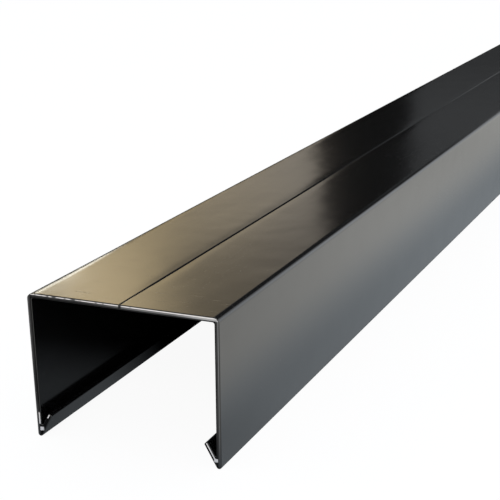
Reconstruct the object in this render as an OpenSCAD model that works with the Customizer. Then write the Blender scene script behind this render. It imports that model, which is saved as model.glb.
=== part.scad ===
// Cover profile: one aluminium section, an upside-down channel with a lip turned back inside at each foot.
// X runs across the cover, Y along it and Z up. The origin lies on the floor under its middle,
// and the cover stands on the rounded feet of its two legs.

/* [Cover] */
// Length of the profile
length = 2000; // [500:50:6000]
// Width over the outer faces of the legs, where they leave the top
width = 80; // [50:1:200]
// Height from the floor to the top face
height = 58.5; // [40:0.5:150]
// Thickness of the top and of the legs
wall = 2; // [1.2:0.1:3]
// How far each leg leans in from upright, in degrees
lean = 0.7; // [0:0.1:3]
// Outside radius of the two long top corners
corner_out = 2.4; // [0.5:0.1:5]
// Inside radius of the two long top corners
corner_in = 0.8; // [0.2:0.1:3]

/* [Lips] */
// Length of each lip, from the outside of its foot to its end
lip = 11; // [7:0.5:16]
// Thickness of each lip
lip_wall = 1.8; // [1:0.1:2.5]
// Angle between each leg and the lip that turns back beside it, in degrees
lip_angle = 30; // [22:1:45]
// Outside radius of the foot, where leg and lip meet
foot_out = 1.1; // [0.4:0.1:2]
// Inside radius of the root between leg and lip
foot_in = 0.3; // [0.1:0.1:0.6]
// Radius on the two edges of each lip's end
lip_edge = 0.4; // [0.1:0.1:0.4]

/* [Groove] */
// Depth of the groove along the middle of the top face
groove_d = 0.45; // [0.2:0.05:0.8]
// Angle between the groove's two flanks, in degrees
groove_angle = 100; // [60:5:120]
// Radius along the groove's bottom
groove_r = 0.12; // [0.05:0.01:0.2]

/* [Hidden] */
// Most degrees that one facet of a rounded stretch turns through
facet = 6;

// Directions that the outer faces of the top, a leg and a lip look in, in degrees up from +X
top_face = 90;
leg_face = -lean;
lip_face = leg_face - (180 - lip_angle);

// Centres of the outer rounds: the top corner, and the foot at the end of the leg's outer face
corner_c = [width / 2 - corner_out, height - corner_out];
leg_run = (height - corner_out - foot_out - (corner_out - foot_out) * sin(lean)) / cos(lean);
foot_c = corner_c + (corner_out - foot_out) * toward(leg_face) + leg_run * toward(leg_face - 90);

// Centres of the inner rounds, each a wall and its own radius in from the two outer faces beside it
corner_step = corner_out - wall - corner_in;
corner_in_c = meet(corner_c, corner_step, top_face, corner_step, leg_face);
root_c = meet(foot_c, foot_out - wall - foot_in, leg_face, foot_out - lip_wall - foot_in, lip_face);

// Centres of the two rounded edges of the lip's end
lip_end = foot_c + (lip - foot_out - lip_edge) * toward(lip_face - 90);
edge_out_c = lip_end + (foot_out - lip_edge) * toward(lip_face);
edge_in_c = lip_end + (foot_out - lip_wall + lip_edge) * toward(lip_face);

// The groove: centre of its bottom round, the slope of its flanks and half its width at the top face
groove_c = [0, height - groove_d + groove_r];
groove_turn = 90 - groove_angle / 2;
flank_drop = groove_d - groove_r + groove_r * cos(groove_turn);
groove_half = groove_r * sin(groove_turn) + flank_drop * tan(groove_angle / 2);

// A step of length 1 in direction a
function toward(a) = [cos(a), sin(a)];

// The point that lies a past c in direction p, and b past c in direction q
function meet(c, a, p, b, q) =
    c + ((a - b * cos(p - q)) * toward(p) + (b - a * cos(p - q)) * toward(q)) / pow(sin(p - q), 2);

// Points of an arc around c with radius r, from angle a to angle b
function arc(c, r, a, b) =
    let (steps = ceil(abs(b - a) / facet))
    [for (i = [0 : steps]) c + r * toward(a + (b - a) * i / steps)];

// Outline of one side: down the outside of the leg, around the lip, and back up the inside
function side() = concat(
    arc(corner_c, corner_out, top_face, leg_face),
    arc(foot_c, foot_out, leg_face, lip_face),
    arc(edge_out_c, lip_edge, lip_face, lip_face - 90),
    arc(edge_in_c, lip_edge, lip_face - 90, lip_face - 180),
    arc(root_c, foot_in, lip_face, leg_face),
    arc(corner_in_c, corner_in, leg_face, top_face));

// Outline of the groove, from its left edge to its right one
function groove() = concat(
    [[-groove_half, height]],
    arc(groove_c, groove_r, -90 - groove_turn, -90 + groove_turn),
    [[groove_half, height]]);

// The same points seen in a mirror on the cover's middle, in the opposite order
function mirrored(points) =
    [for (i = [len(points) - 1 : -1 : 0]) [-points[i][0], points[i][1]]];

// The section, all one piece of metal
module section() {
    polygon(concat(groove(), side(), mirrored(side())));
}

// The cover: its section drawn out along Y
module cover_profile() {
    color([0.09, 0.09, 0.095])
        rotate([90, 0, 0])
            linear_extrude(length, center = true)
                section();
}

cover_profile();
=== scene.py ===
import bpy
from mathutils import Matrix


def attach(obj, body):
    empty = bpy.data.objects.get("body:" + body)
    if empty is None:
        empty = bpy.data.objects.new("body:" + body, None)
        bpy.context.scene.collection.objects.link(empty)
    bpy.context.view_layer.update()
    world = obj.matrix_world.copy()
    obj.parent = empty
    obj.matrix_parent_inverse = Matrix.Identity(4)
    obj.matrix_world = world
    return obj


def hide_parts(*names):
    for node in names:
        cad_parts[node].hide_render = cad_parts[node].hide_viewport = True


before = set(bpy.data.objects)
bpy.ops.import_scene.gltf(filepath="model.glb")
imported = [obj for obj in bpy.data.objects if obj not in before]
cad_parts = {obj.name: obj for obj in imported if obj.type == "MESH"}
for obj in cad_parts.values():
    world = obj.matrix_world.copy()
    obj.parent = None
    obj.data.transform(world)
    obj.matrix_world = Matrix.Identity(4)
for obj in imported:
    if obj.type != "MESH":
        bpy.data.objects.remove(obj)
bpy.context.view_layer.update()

import math

import bpy
from mathutils import Vector, noise

# The cover's section and length in metres and degrees, as the solid has them
LENGTH = 2.0
WIDTH = 0.080
HEIGHT = 0.0585
WALL = 0.002
LEAN = 0.7
CORNER_OUT = 0.0024
CORNER_IN = 0.0008
LIP = 0.011
LIP_WALL = 0.0018
LIP_ANGLE = 30
FOOT_OUT = 0.0011
FOOT_IN = 0.0003
LIP_EDGE = 0.0004
GROOVE_DEPTH = 0.00045
GROOVE_ANGLE = 100
GROOVE_BOTTOM = 0.00012

# What the solid leaves to this script: the dip that the top takes towards the groove, its reach to
# each side, the part of it that is left further in, and the two distances from the cuts between which
# it fades to that. The last is the radius of the groove's shoulders
DIP = 0.000105
DIP_REACH = 0.0027
DIP_INSIDE = 0.45
DIP_FADE = (0.1, 0.3)
GROOVE_SHOULDER = 0.0007

# The groove starts faint: the part of its depth that it has at the cuts, where the top doesn't dip
# either, and the two distances from the cuts between which both come in
GROOVE_AT_CUT = 0.6
GROOVE_ENTRY = (0.006, 0.035)

# The left edge of the top, rolled over slightly before its bend: how far from the middle that starts,
# its radius, the part of it that is left further in, and the distances between which it fades to that
ROLL_START = 0.0346
ROLL_RADIUS = 0.025
ROLL_INSIDE = 0.5
ROLL_FADE = (0.04, 0.12)

# How far the flats wander in from true, and over what lengths across the cover and along it
WANDER = 0.00004
WANDER_ACROSS = 0.03
WANDER_ALONG = 0.16

# The radius of the dulled edges of both cuts, and the steps that one is drawn in
ARRIS = 0.00036
ARRIS_STEPS = 6

# Rings close behind each dulled edge. They keep its rounding out of the shading of the flats, and
# they carry the groove's faint start
BEHIND_ARRIS = (0.0002, 0.0006, 0.0014, 0.003, 0.006, 0.011, 0.016, 0.027)

# How far the lip's outer face lies from the frame's origin, measured square to that face
LIP_PLANE = 0.03275

# Largest turn of one facet in degrees: outside on the top corners and the feet, and on smaller rounds
FINE_TURN = 4.5
PLAIN_TURN = 10

# The usual stretch between two points on a flat and between two rings along the length
FLAT_STEP = 0.0045
LENGTH_STEP = 0.02

# Points near each end of a flat: several from a certain length on, and one on a shorter flat
LONG_FLAT = 0.03
NEAR_ENDS = (0.0004, 0.0009, 0.0015, 0.0021, 0.0028, 0.0036, 0.0046, 0.006, 0.008)
NEAR_END = FLAT_STEP / 8

# The colours of the coat, of the dust and scuffs on it, and of bare metal, which on the cuts is partly
# wear and partly painted glints, the refraction of the coat, and the roughness of the cuts
COAT_BLACK = (0.003, 0.003, 0.0032, 1)
DUST = (0.07, 0.068, 0.064, 1)
BARE_METAL = (0.82, 0.79, 0.8, 1)
COAT_IOR = 1.6
CUT_ROUGHNESS = 0.36

# How far the finish stands up in metres, or lies down in the scuffs
PEEL_HEIGHT = 2.2e-6
DIE_LINE_HEIGHT = 1.6e-6
WAVE_HEIGHT = 1.1e-4
NIB_HEIGHT = 2.5e-5
SCUFF_DEPTH = 2.0e-6
SHEAR_HEIGHT = 1.5e-5

# The photographer's place and turn, from the section's corners and the long edges in the photograph,
# and the lens and the sensor's width in millimetres
CAMERA_SPOT = (0.2192, -1.3681, 0.2049)
CAMERA_TURN = (1.2816, 0.0185, 0.4200)
CAMERA_LENS = 89.46
CAMERA_SENSOR = 36

# The floor: its side, its brightness where it glows, and the share of glow in what the camera sees
# of it. The rest is lit paint, so that it takes the shadow. The last two colours are painted tints
# that mirrors see it in: a bluish painted shade close beside the part, and a warm painted light
# further out
FLOOR_SIDE = 60
FLOOR_GLOW = 1.02
FLOOR_SHOWN = 0.92
FLOOR_PAINT = (0.95, 0.95, 0.95, 1)
FLOOR_CLOSE = (0.91, 1.0, 1.07, 1)
FLOOR_OPEN = (1.0, 1.0, 0.96, 1)

# The boards stand on a ring: its middle, its radius, and the degrees that one panel of a board takes
RING_NORTH = -0.8
RING = 6.0
PANEL_TURN = 2

# The back board's colours: the warm side from its left to its right end, the strip, and the grey side
AMBER = (1.0, 0.8, 0.48, 1)
SAND = (1.0, 0.85, 0.62, 1)
CREAM = (1.0, 0.9, 0.76, 1)
STRIP = (1.0, 0.95, 0.8, 1)
COOL_GREY = (0.96, 1, 1.04, 1)

# Plain white, and how little the black board gives off
WHITE = (1, 1, 1, 1)
BLACK_BOARD_GLOW = 0.004

# The world's light on the part, and the background that the camera and mirrors see
FILL_COLOUR = (0.92, 0.97, 1.06, 1)
FILL_STRENGTH = 0.82
BACKGROUND_STRENGTH = 1.0

# The lamp: its place, the point that it faces, its width, its power in watts and its colour
LAMP_SPOT = (0.9, -3.6, 2.0)
LAMP_AIM = (0, -0.9, 0)
LAMP_WIDTH = 1.0
LAMP_POWER = 25
LAMP_COLOUR = (1.0, 0.97, 0.92)


def toward(angle):
    """A step of length 1 across the section, in a direction counted in degrees up from +X."""
    return Vector((math.cos(math.radians(angle)), math.sin(math.radians(angle))))


def meet(centre, a, p, b, q):
    """The point that lies a past centre in direction p, and b past it in direction q."""
    turn = math.radians(p - q)
    along_p = (a - b * math.cos(turn)) * toward(p)
    along_q = (b - a * math.cos(turn)) * toward(q)
    return centre + (along_p + along_q) / math.sin(turn) ** 2


def arc(centre, radius, start, end, turn=FINE_TURN):
    """Points of a round, from the direction start to the direction end."""
    steps = math.ceil(abs(end - start) / turn)
    return [centre + radius * toward(start + (end - start) * i / steps) for i in range(steps + 1)]


def side_rounds():
    """The rounds of the right-hand side, in order from the top corner around the lip to the inner corner.

    Each is centre, radius, start, end, largest turn of a facet, and 1 where the metal bulges or -1
    where it is hollow."""
    top_face = 90
    leg_face = -LEAN
    lip_face = leg_face - (180 - LIP_ANGLE)
    corner = Vector((WIDTH / 2 - CORNER_OUT, HEIGHT - CORNER_OUT))
    fall = HEIGHT - CORNER_OUT - FOOT_OUT - (CORNER_OUT - FOOT_OUT) * math.sin(math.radians(LEAN))
    run = fall / math.cos(math.radians(LEAN))
    foot = corner + (CORNER_OUT - FOOT_OUT) * toward(leg_face) + run * toward(leg_face - 90)
    step = CORNER_OUT - WALL - CORNER_IN
    inner = meet(corner, step, top_face, step, leg_face)
    root = meet(foot, FOOT_OUT - WALL - FOOT_IN, leg_face, FOOT_OUT - LIP_WALL - FOOT_IN, lip_face)
    tip = foot + (LIP - FOOT_OUT - LIP_EDGE) * toward(lip_face - 90)
    edge_out = tip + (FOOT_OUT - LIP_EDGE) * toward(lip_face)
    edge_in = tip + (FOOT_OUT - LIP_WALL + LIP_EDGE) * toward(lip_face)
    return [
        (corner, CORNER_OUT, top_face, leg_face, FINE_TURN, 1),
        (foot, FOOT_OUT, leg_face, lip_face, FINE_TURN, 1),
        (edge_out, LIP_EDGE, lip_face, lip_face - 90, PLAIN_TURN, 1),
        (edge_in, LIP_EDGE, lip_face - 90, lip_face - 180, PLAIN_TURN, 1),
        (root, FOOT_IN, lip_face, leg_face, PLAIN_TURN, -1),
        (inner, CORNER_IN, leg_face, top_face, PLAIN_TURN, -1),
    ]


def groove_rounds(y):
    """The right-hand half of the groove: its hollow bottom, then the shoulder that meets the top face.

    The dip takes up a part of the groove's depth, so the bottom is where the solid has it, or above that
    where the groove is faint."""
    turn = 90 - GROOVE_ANGLE / 2
    faint = near_cuts(y, GROOVE_ENTRY, 0.0)
    depth = (GROOVE_DEPTH - DIP) * (1 - (1 - GROOVE_AT_CUT) * faint)
    bottom = Vector((0, HEIGHT - depth + GROOVE_BOTTOM))
    rounds = GROOVE_BOTTOM + GROOVE_SHOULDER
    drop = rounds - depth
    reach = (rounds - drop * math.cos(math.radians(turn))) / math.sin(math.radians(turn))
    shoulder = Vector((reach, HEIGHT - GROOVE_SHOULDER))
    return [
        (bottom, GROOVE_BOTTOM, -90, -90 + turn, PLAIN_TURN, -1),
        (shoulder, GROOVE_SHOULDER, 90 + turn, 90, PLAIN_TURN, 1),
    ]


def half_outline(inset, y):
    """Points of the right-hand half of the section, at a place along the length.

    They run from the groove's bottom around the leg and the lip to the middle of the underside."""
    points = []
    for centre, radius, start, end, turn, bulge in groove_rounds(y) + side_rounds():
        fresh = arc(centre, radius - bulge * inset, start, end, turn)
        if points:
            points += divided(points[-1], fresh[0])
        points += fresh
    middle = Vector((0, HEIGHT - WALL + inset))
    return points + divided(points[-1], middle) + [middle]


def divided(first, last):
    """The points between two ends of a flat, both left out: close near the ends and evenly between."""
    span = (last - first).length
    near = NEAR_ENDS if span > LONG_FLAT else (min(span / 4, NEAR_END),)
    steps = max(1, round((span - 2 * near[-1]) / FLAT_STEP))
    even = [near[-1] + (span - 2 * near[-1]) * i / steps for i in range(1, steps)]
    spots = list(near) + even + [span - reach for reach in reversed(near)]
    return [first.lerp(last, spot / span) for spot in spots]


def settled(point, y):
    """A point of the section at a place along the length, lowered by the dip and the rolled left edge.

    Both act on the outside of the top and fade out through the metal."""
    dip = DIP * near_cuts(y, DIP_FADE, DIP_INSIDE) * (1 - near_cuts(y, GROOVE_ENTRY, 0.0))
    sink = dip * math.exp(-(point.x / DIP_REACH) ** 2)
    past = max(0.0, -point.x - ROLL_START)
    whole = WIDTH / 2 - CORNER_OUT - ROLL_START
    curved = min(past, whole)
    roll = (curved ** 2 / 2 + whole * (past - curved)) / ROLL_RADIUS
    roll = roll * near_cuts(y, ROLL_FADE, ROLL_INSIDE)
    share = max(0.0, (point.y - HEIGHT + WALL) / WALL)
    return Vector((point.x, point.y - (sink + roll) * share))


def near_cuts(y, fade, inside):
    """1 up to the first distance of fade from the nearer cut, and the value inside from its second on."""
    first, last = fade
    inwards = (LENGTH / 2 - abs(y) - first) / (last - first)
    inwards = min(1.0, max(0.0, inwards))
    return 1 - (1 - inside) * inwards * inwards * (3 - 2 * inwards)


def outline(inset, y):
    """The whole section at a place along the length: a ring of points, clockwise from the front."""
    half = half_outline(inset, y)
    return [settled(point, y) for point in half + [Vector((-p.x, p.y)) for p in half[-2:0:-1]]]


def wandered(ring, normals, y):
    """A ring at a place along the length, each point in by the little that real flats are out of true."""
    placed = []
    for point, normal in zip(ring, normals):
        sway = noise.noise(Vector((point.x / WANDER_ACROSS, y / WANDER_ALONG, point.y / WANDER_ACROSS)))
        inward = WANDER * (0.5 + 0.5 * sway)
        placed.append((point.x - normal.x * inward, y, point.y - normal.y * inward))
    return placed


def outward(ring):
    """The direction out of the metal at each point of a ring, square to the line past its neighbours."""
    count = len(ring)
    normals = []
    for i in range(count):
        along = ring[(i + 1) % count] - ring[i - 1]
        normals.append(Vector((-along.y, along.x)).normalized())
    return normals


def stations():
    """Where the cover's rings stand, in order along Y, with the edges of both cuts rounded.

    Each is how far its outline lies in, its place, and how far round it is towards the cut face, from
    0 on the outside to 1 on the cut."""
    flat = LENGTH / 2 - ARRIS
    rounded = []
    for i in range(ARRIS_STEPS + 1):
        turn = math.radians(90 * i / ARRIS_STEPS)
        rounded.append((ARRIS * (1 - math.sin(turn)), flat + ARRIS * math.cos(turn), 1 - i / ARRIS_STEPS))
    steps = round(2 * flat / LENGTH_STEP)
    inner = [flat - 2 * flat * i / steps for i in range(1, steps)]
    inner += [flat - past for past in BEHIND_ARRIS] + [past - flat for past in BEHIND_ARRIS]
    front = [(inset, -reach, toward_cut) for inset, reach, toward_cut in rounded]
    return front + [(0.0, y, 0.0) for y in sorted(inner)] + list(reversed(rounded))


def cover():
    """The whole cover: its section drawn along Y, closed by the two cuts."""
    plain = outline(0.0, 0.0)
    normals = outward(plain)
    count = len(plain)
    points = []
    cut = []
    for inset, y, toward_cut in stations():
        points += wandered(outline(inset, y), normals, y)
        cut += [toward_cut] * count
    last = len(points) - count
    faces = []
    for start in range(0, last, count):
        for i in range(count):
            j = (i + 1) % count
            faces.append((start + i, start + j, start + count + j, start + count + i))
    walls = len(faces)
    faces.append(tuple(reversed(range(count))))
    faces.append(tuple(range(last, last + count)))
    mesh = bpy.data.meshes.new("cover")
    mesh.from_pydata(points, [], faces)
    mesh.attributes.new("toward_cut", "FLOAT", "POINT").data.foreach_set("value", cut)
    for face in mesh.polygons:
        face.use_smooth = face.index < walls
    made = bpy.data.objects.new("cover", mesh)
    bpy.context.scene.collection.objects.link(made)
    return made


class Wire:
    """One output socket of a material's nodes. Arithmetic on it adds Math nodes to the same material."""

    def __init__(self, tree, socket):
        self.tree = tree
        self.socket = socket

    def math(self, operation, *values):
        inputs = dict(enumerate((self,) + values))
        return self.tree.node("ShaderNodeMath", {"operation": operation}, inputs)

    def __add__(self, other):
        return self.math("ADD", other)

    def __radd__(self, other):
        return self.math("ADD", other)

    def __sub__(self, other):
        return self.math("SUBTRACT", other)

    def __rsub__(self, other):
        return self.tree.node("ShaderNodeMath", {"operation": "SUBTRACT"}, {0: other, 1: self})

    def __mul__(self, other):
        return self.math("MULTIPLY", other)

    def __rmul__(self, other):
        return self.math("MULTIPLY", other)

    def between(self, low, high):
        """0 up to low, 1 from high on, and a smooth rise between the two."""
        settings = {"interpolation_type": "SMOOTHSTEP"}
        inputs = {"Value": self, "From Min": low, "From Max": high}
        return self.tree.node("ShaderNodeMapRange", settings, inputs)

    def band(self, before, low, high, after):
        """0 up to before, 1 from low to high, and 0 again from after on."""
        return self.between(before, low) * (1 - self.between(high, after))


class Tree:
    """A material's nodes, or the world's."""

    def __init__(self, owner):
        owner.use_nodes = True
        self.nodes = owner.node_tree.nodes
        self.links = owner.node_tree.links
        self.nodes.clear()

    def node(self, kind, settings, inputs, output=0):
        """Adds a node, sets it up, feeds its sockets numbers, tuples or wires, and gives one output."""
        made = self.nodes.new(kind)
        for name, value in settings.items():
            setattr(made, name, value)
        for name, value in inputs.items():
            if isinstance(value, Wire):
                self.links.new(value.socket, made.inputs[name])
            else:
                made.inputs[name].default_value = value
        return Wire(self, made.outputs[output]) if made.outputs else None

    def place(self):
        """Where a point is, in metres: the whole vector, then its x, y and z."""
        spot = self.node("ShaderNodeTexCoord", {}, {}, "Object")
        return [spot] + [self.node("ShaderNodeSeparateXYZ", {}, {0: spot}, axis) for axis in "XYZ"]

    def grain(self, spot, per_metre, detail=2.0):
        """Noise from 0 to 1, with so many grains to a metre along x, y and z."""
        stretched = self.node("ShaderNodeVectorMath", {"operation": "MULTIPLY"}, {0: spot, 1: per_metre})
        return self.node("ShaderNodeTexNoise", {}, {"Vector": stretched, "Scale": 1.0, "Detail": detail})

    def mixed(self, share, first, second):
        """A colour between two, by a share from 0 to 1.

        A Mix node takes two colours in its sockets 6 and 7, and gives the mixture in its output 2."""
        return self.node("ShaderNodeMix", {"data_type": "RGBA"}, {0: share, 6: first, 7: second}, 2)

    def rays(self):
        """1 for rays from the camera, and 1 for rays that were mirrored or went through something."""
        seen = self.node("ShaderNodeLightPath", {}, {}, "Is Camera Ray")
        mirrored = self.node("ShaderNodeLightPath", {}, {}, "Is Glossy Ray")
        through = self.node("ShaderNodeLightPath", {}, {}, "Is Transmission Ray")
        return seen, mirrored.math("MAXIMUM", through)

    def glow(self, colour, strength):
        """A surface that gives off light."""
        return self.node("ShaderNodeEmission", {}, {"Color": colour, "Strength": strength})


def black_satin_coat():
    """The satin black coat, and the bare metal of the two cuts.

    The coat is near-black, with fine orange peel on broad waves, faint die lines along the length, a
    few nibs and dust specks, and short scuffs across the top near each end. It covers the dulled edges
    of both cuts. Just inside them a thin broken line of bare metal, with a few bright marks on the
    lips and the feet, is partly wear and partly painted glints where they fall, more on the top's right
    part. The rest of each cut is dark metal with painted light and shade: lighter on the right, towards
    the top's right end and along the rim as a painted highlight, and darker further in from the
    outside and darkest in the groove's notch as painted shade."""
    material = bpy.data.materials.new("black_satin_coat")
    tree = Tree(material)
    spot, x, y, z = tree.place()
    toward_cut = tree.node("ShaderNodeAttribute", {"attribute_name": "toward_cut"}, {}, "Fac")

    # Places: how deep a point lies below the outside and in the lip, and where it is
    across = x.math("ABSOLUTE")
    below_top = HEIGHT - z
    beside_leg = WIDTH / 2 - across - below_top * math.tan(math.radians(LEAN))
    deep = below_top.math("MINIMUM", beside_leg)
    slope = toward(LIP_ANGLE - LEAN)
    in_lip = across * slope.x + z * slope.y - LIP_PLANE
    on_top = z.between(0.0568, 0.0573)
    on_lips = deep.between(0.0019, 0.0021) * (1 - z.between(0.0095, 0.0105))
    rightwards = x.between(-0.020, 0.012)
    far_right = x.between(0.020, 0.036)
    right_side = x.between(-0.001, 0.001)
    left_side = 1 - right_side

    # The coat's own detail
    peel = tree.grain(spot, (850, 850, 850), 1.0)
    die_lines = tree.grain(spot, (650, 0.9, 650), 3.0)
    clouds = tree.grain(spot, (22, 5, 22), 2.0)
    waves = tree.grain(spot, (60, 45, 60), 1.0)
    near_end = y.math("ABSOLUTE").between(0.86, 0.995)
    scuffs = tree.grain(spot, (70, 1500, 70), 1.0).between(0.66, 0.74) * near_end * on_top
    specks = tree.grain(spot, (1900, 1900, 1900), 0.0).between(0.76, 0.8)
    cell = {"Vector": spot, "Scale": 42.0, "Randomness": 1.0}
    nibs = 1 - tree.node("ShaderNodeTexVoronoi", {}, cell, "Distance").between(0.006, 0.017)

    # Bare metal on the cuts, partly wear and partly painted glints where they fall: the rim, a line in
    # each lip, where lip and leg part, and on the left side the heel and the shin just above it. More of
    # it on the top's right part, as painted highlight
    cut = toward_cut.between(0.62, 0.9)
    patchy = tree.grain(spot, (380, 380, 380), 3.0)
    rim = deep.band(0.0003, 0.0004, 0.0006, 0.00075)
    lip_part = right_side.math("MAXIMUM", z.between(0.0076, 0.0084))
    lip_line = on_lips * lip_part * in_lip.band(0.0009, 0.001, 0.00135, 0.00155)
    parting = z.band(0.0022, 0.003, 0.0038, 0.0044) * deep.band(0.0011, 0.0014, 0.0026, 0.0032)
    heel = left_side * z.band(0.0008, 0.0012, 0.0026, 0.0034) * deep.band(0.0005, 0.0008, 0.0018, 0.0024)
    shin = left_side * z.band(0.0046, 0.0056, 0.0095, 0.0105) * deep.band(0.0009, 0.0011, 0.0015, 0.0017)
    marks = lip_line + parting + shin
    often = 0.24 + on_top * (0.28 + 0.11 * rightwards) + 0.46 * marks + 0.28 * heel
    # The groove's notch in the top's cut, kept dark and free of bare metal as painted shade
    notch_painted_shade = on_top * (1 - across.between(0.0004, 0.0008))
    bare_metal_and_glints = cut * (rim + marks + heel) * (1 - notch_painted_shade) * (patchy + often).between(0.93, 1.05)

    # The rest of the cuts: dark metal with painted light and shade
    sheared = tree.grain(spot, (900, 900, 160), 2.0)
    upper_right = right_side * z.between(0.012, 0.05)
    # Painted light: the cut's metal lighter on the right, along the rim as a painted highlight, more so at
    # the upper right, and towards the top's right end
    lit = 0.018 + 0.012 * right_side + 0.03 * sheared + (0.07 + 0.09 * upper_right) * rim
    lit = lit + on_top * (0.11 * rightwards + 0.24 * far_right)
    # Painted shade: darker further in from the outside, and darkest in the groove's notch
    cut_painted_tone = lit * (1 - 0.85 * deep.between(0.0012, 0.0016)) * (1 - 0.85 * notch_painted_shade)
    cut_painted_light_and_shade = tree.node("ShaderNodeCombineColor", {}, {0: cut_painted_tone, 1: cut_painted_tone, 2: cut_painted_tone * 1.04})

    # Coat and cuts together
    coat = tree.mixed(specks * 0.4 + scuffs * 0.12, COAT_BLACK, DUST)
    with_cut = tree.mixed(cut, coat, cut_painted_light_and_shade)
    colour = tree.mixed(bare_metal_and_glints, with_cut, BARE_METAL)
    coat_roughness = 0.11 + 0.05 * clouds + 0.03 * die_lines + 0.13 * scuffs + 0.12 * specks
    roughness = coat_roughness + (CUT_ROUGHNESS - coat_roughness) * cut
    heights = peel * PEEL_HEIGHT + die_lines * DIE_LINE_HEIGHT + waves * WAVE_HEIGHT
    heights = heights + nibs * NIB_HEIGHT - scuffs * SCUFF_DEPTH
    heights = (1 - cut) * heights + cut * sheared * SHEAR_HEIGHT
    relief = tree.node("ShaderNodeBump", {}, {"Distance": 1.0, "Height": heights})
    surface = tree.node(
        "ShaderNodeBsdfPrincipled",
        {},
        {
            "Base Color": colour,
            "Metallic": cut,
            "Roughness": roughness,
            "Normal": relief,
            "IOR": COAT_IOR,
        },
    )
    tree.node("ShaderNodeOutputMaterial", {}, {"Surface": surface})
    return material


def pale_floor():
    """A white floor. The camera sees it almost as white as the background, with a light shadow.

    Mirrors see it white too, with painted light and shade in its glow: brighter further out to the
    sides, a little dimmer further along, a dimmer, bluish painted shade close beside the part, a
    painted shadow in the channel, dim in its mouths and dark deeper in, and a painted black patch on
    the left."""
    material = bpy.data.materials.new("pale_floor")
    tree = Tree(material)
    seen, mirrored = tree.rays()
    spot, x, y, z = tree.place()
    across = x.math("ABSOLUTE")
    along = y.math("ABSOLUTE")
    beside = across.between(0.050, 0.088).math("MAXIMUM", along.between(LENGTH / 2, 1.03))
    # Painted shade for mirrors: dimmer close beside the part, more so near its front end, and lighter
    # further out
    open_floor = (0.62 + 0.4 * beside) * (1 - 0.2 * y.between(-0.72, -0.38))
    open_floor = open_floor - 0.09 * (1 - beside) * (1 - y.between(-0.985, -0.92))
    open_floor = open_floor + 0.22 * across.between(0.112, 0.16)
    # A painted black patch on the left, which only mirrors see
    painted_black_patch = (1 - x.between(-0.062, -0.056)) * y.band(-1.06, -1.055, 1.1, 1.105)
    # Painted shadow under the part, with a little painted light in the channel's mouths
    channel = (1 - across.between(0.0392, WIDTH / 2)) * (1 - along.between(LENGTH / 2, 1.004))
    mirror = open_floor * (1 - painted_black_patch) * (1 - channel) + 0.15 * channel * along.between(0.895, 0.965)
    share = (seen * FLOOR_SHOWN).math("MAXIMUM", mirrored)
    strength = FLOOR_GLOW - mirrored * (FLOOR_GLOW - mirror)
    lit = tree.node("ShaderNodeBsdfDiffuse", {}, {"Color": FLOOR_PAINT})
    # Painted tints for mirrors: bluish painted shade close beside the part, warm painted light further out
    colour = tree.mixed(mirrored, WHITE, tree.mixed(beside, FLOOR_CLOSE, FLOOR_OPEN))
    both = tree.node("ShaderNodeMixShader", {}, {0: share, 1: lit, 2: tree.glow(colour, strength)})
    tree.node("ShaderNodeOutputMaterial", {}, {"Surface": both})
    bpy.ops.mesh.primitive_plane_add(size=FLOOR_SIDE)
    made = bpy.context.object
    made.name = "floor"
    made.data.materials.append(material)


def board(name, first, last, low, high, glow):
    """An upright board on the ring around the part, which only mirrors see. glow builds its light.

    first and last are its azimuths in degrees from +Y towards +X, as seen from the ring's middle, and
    low and high are its elevations."""
    steps = round((last - first) / PANEL_TURN)
    points = []
    for i in range(steps + 1):
        angle = math.radians(first + (last - first) * i / steps)
        x = RING * math.sin(angle)
        y = RING_NORTH + RING * math.cos(angle)
        points += [(x, y, RING * math.tan(math.radians(rise))) for rise in (low, high)]
    mesh = bpy.data.meshes.new(name)
    mesh.from_pydata(points, [], [(2 * i, 2 * i + 2, 2 * i + 3, 2 * i + 1) for i in range(steps)])
    made = bpy.data.objects.new(name, mesh)
    bpy.context.scene.collection.objects.link(made)
    material = bpy.data.materials.new(name)
    tree = Tree(material)
    tree.node("ShaderNodeOutputMaterial", {}, {"Surface": glow(tree)})
    made.data.materials.append(material)
    made.visible_camera = False
    made.visible_diffuse = False
    made.visible_shadow = False


def black(tree):
    """Nearly black, and the same all over."""
    return tree.glow(WHITE, BLACK_BOARD_GLOW)


def bearings(tree):
    """The azimuth and the elevation of a point on a board, in degrees."""
    spot, east, north, height = tree.place()
    azimuth = east.math("ARCTAN2", north - RING_NORTH) * (180 / math.pi)
    return azimuth, height.math("ARCTAN2", RING) * (180 / math.pi)


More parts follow.
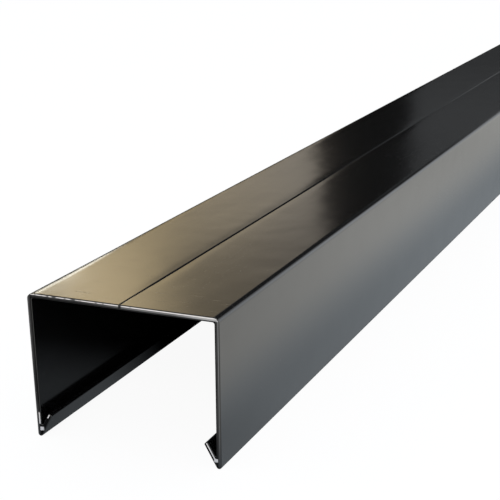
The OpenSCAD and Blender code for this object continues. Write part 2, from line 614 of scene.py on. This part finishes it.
def back_wall(tree):
    """What the top and its bends mirror from behind the part, from left to right.

    First a lamp's pale strip with a warm patch over it, then an even warm wall, all of them dark below,
    then a black gap, and last a dark grey that pales to the right and towards the floor."""
    azimuth, rise = bearings(tree)
    wall = (1.06 - 0.33 * azimuth.between(-27.8, -20.9)) * (1 - 0.61 * rise.between(13.9, 19.4))
    patch = (1 - azimuth.between(-32.8, -26.9)) * rise.between(13.6, 20.4)
    patch = patch * (0.55 + 0.45 * azimuth.between(-35.2, -33.6))
    strip = (1 - azimuth.between(-34.6, -33.0)) * (1 - rise.between(16.2, 17.2))
    above = (rise + 0.22 * azimuth).between(4.9, 5.7)
    warm_side = above * (1 - (azimuth - 0.14 * rise).between(-23.2, -22.9))
    warm = 0.007 + warm_side * (wall + 1.9 * patch + 5.0 * strip)
    low = 1 - rise.between(12.5, 19.5)
    pale = 0.5 * low * azimuth.between(-11.9, 15.5)
    pale = pale + 0.9 * azimuth.between(8, 26) * (1 - rise.between(22, 30))
    haze = 0.073 * rise.band(8.6, 9.7, 17, 23)
    grey = azimuth.between(-16.6, -16.0) * (0.035 + haze + pale)
    colour = tree.mixed(azimuth.between(-30.5, -26), AMBER, SAND)
    colour = tree.mixed(azimuth.between(-26.7, -20.9), colour, CREAM)
    colour = tree.mixed(strip, colour, STRIP)
    colour = tree.mixed(azimuth.between(-21.2, -19.8), colour, COOL_GREY)
    return tree.glow(colour, warm + grey)


def studio():
    """A pale world, a soft lamp at the front, a board behind the part and a black one high on the left."""
    world = bpy.data.worlds.new("studio")
    bpy.context.scene.world = world
    tree = Tree(world)
    seen, mirrored = tree.rays()
    background = {"Color": WHITE, "Strength": BACKGROUND_STRENGTH}
    fill = tree.node("ShaderNodeBackground", {}, {"Color": FILL_COLOUR, "Strength": FILL_STRENGTH})
    white = tree.node("ShaderNodeBackground", {}, background)
    shown = seen.math("MAXIMUM", mirrored)
    both = tree.node("ShaderNodeMixShader", {}, {0: shown, 1: fill, 2: white})
    tree.node("ShaderNodeOutputWorld", {}, {"Surface": both})
    lamp = bpy.data.lights.new("key", "AREA")
    lamp.shape = "DISK"
    lamp.size = LAMP_WIDTH
    lamp.energy = LAMP_POWER
    lamp.color = LAMP_COLOUR
    made = bpy.data.objects.new("key", lamp)
    bpy.context.scene.collection.objects.link(made)
    made.location = LAMP_SPOT
    made.rotation_euler = (made.location - Vector(LAMP_AIM)).to_track_quat("Z", "Y").to_euler()
    board("back_board", first=-75, last=60, low=0, high=42, glow=back_wall)
    board("canopy", first=-150, last=-25, low=30, high=75, glow=black)


def photographer():
    """The camera, where the photograph was taken from."""
    data = bpy.data.cameras.new("photographer")
    data.lens = CAMERA_LENS
    data.sensor_width = CAMERA_SENSOR
    made = bpy.data.objects.new("photographer", data)
    bpy.context.scene.collection.objects.link(made)
    made.location = CAMERA_SPOT
    made.rotation_euler = CAMERA_TURN
    bpy.context.scene.camera = made


photographer()
shell = cover()
shell.data.materials.append(black_satin_coat())
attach(shell, "root")
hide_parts("cover_profile")
pale_floor()
studio()
bpy.context.scene.view_settings.view_transform = "Standard"
